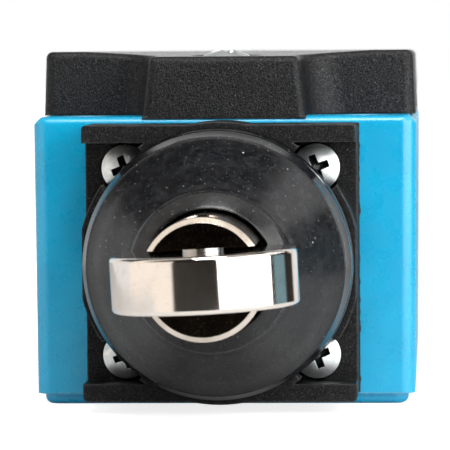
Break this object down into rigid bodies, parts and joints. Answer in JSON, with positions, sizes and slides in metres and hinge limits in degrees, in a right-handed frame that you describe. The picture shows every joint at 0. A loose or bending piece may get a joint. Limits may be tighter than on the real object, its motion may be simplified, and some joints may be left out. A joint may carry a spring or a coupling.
{
  "type": "limit switch",
  "caption": "Plunger limit switch: moulded housing with a screwed cover, square head, rubber boot, sliding roller plunger, slow-action contact block and threaded conduit entry.",
  "frame": {"origin": "centre of the mounting-hole pattern, on the back (mounting) face", "axes": "+Z out through the cover, -Y along the plunger towards its roller, +X to the right seen from the roller with the cover up"},
  "size_m": [0.0404, 0.1188, 0.0374],
  "materials": {
    "body_plastic": "light blue moulded thermoplastic, satin",
    "cover_plastic": "black, spark-eroded grain",
    "head_plastic": "black, rough moulded",
    "boot_rubber": "black, smooth, slightly dusty",
    "seal_rubber": "black",
    "nickel_steel": "nickel-plated steel",
    "roller_steel": "ground and plated steel",
    "steel": "plain steel",
    "spring_steel": "oiled spring steel",
    "zinc_steel": "zinc-plated steel",
    "brass": "turned brass",
    "bronze": "sintered bronze",
    "contact_brass": "stamped brass",
    "contact_silver": "silver alloy",
    "block_plastic": "dark grey thermoset",
    "lid_plastic": "translucent natural thermoplastic",
    "stem_plastic": "white acetal"
  },
  "bodies": {
    "housing": {"body_shell": "body_plastic", "cover": "cover_plastic", "cover_gasket": "seal_rubber", "cover_screws": "zinc_steel", "cover_inserts": "brass", "head_gasket": "seal_rubber", "head_block": "head_plastic", "head_screws": "zinc_steel", "guide_bush": "bronze", "key_pin": "steel", "boot": "boot_rubber", "contact_base": "block_plastic", "contact_lid": "lid_plastic", "base_screws": "zinc_steel", "fixed_tips": "contact_silver", "nc_terminals": "contact_brass", "no_terminals": "contact_brass", "clamp_plates": "zinc_steel", "terminal_screws": "zinc_steel", "return_spring": "spring_steel", "stem_spring": "spring_steel"},
    "plunger": {"plunger": "nickel_steel", "roller_pin": "steel", "retaining_clip": "spring_steel", "seat_ring": "spring_steel", "spring_seat": "steel"},
    "roller": {"roller": "roller_steel"},
    "stem": {"contact_stem": "stem_plastic", "nc_bridge": "contact_brass", "no_bridge": "contact_brass", "moving_tips": "contact_silver", "contact_springs": "spring_steel"}
  },
  "joints": [
    {"name": "plunger_slide", "type": "slide", "parent": "housing", "child": "plunger", "axis": [0, 1, 0], "range_m": [0, 0.006], "deforming": ["boot", "return_spring"]},
    {"name": "roller_spin", "type": "hinge", "parent": "plunger", "child": "roller", "pos_m": [0, -0.0681, 0.0155], "axis": [-0.0506, 0, 0.9987], "continuous": true},
    {"name": "stem_slide", "type": "slide", "parent": "housing", "child": "stem", "axis": [0, 1, 0], "range_m": [0, 0.006], "deforming": ["stem_spring"]}
  ],
  "couplings": [
    {"joint": "stem_slide", "follows": "plunger_slide", "ratio": 1}
  ]
}
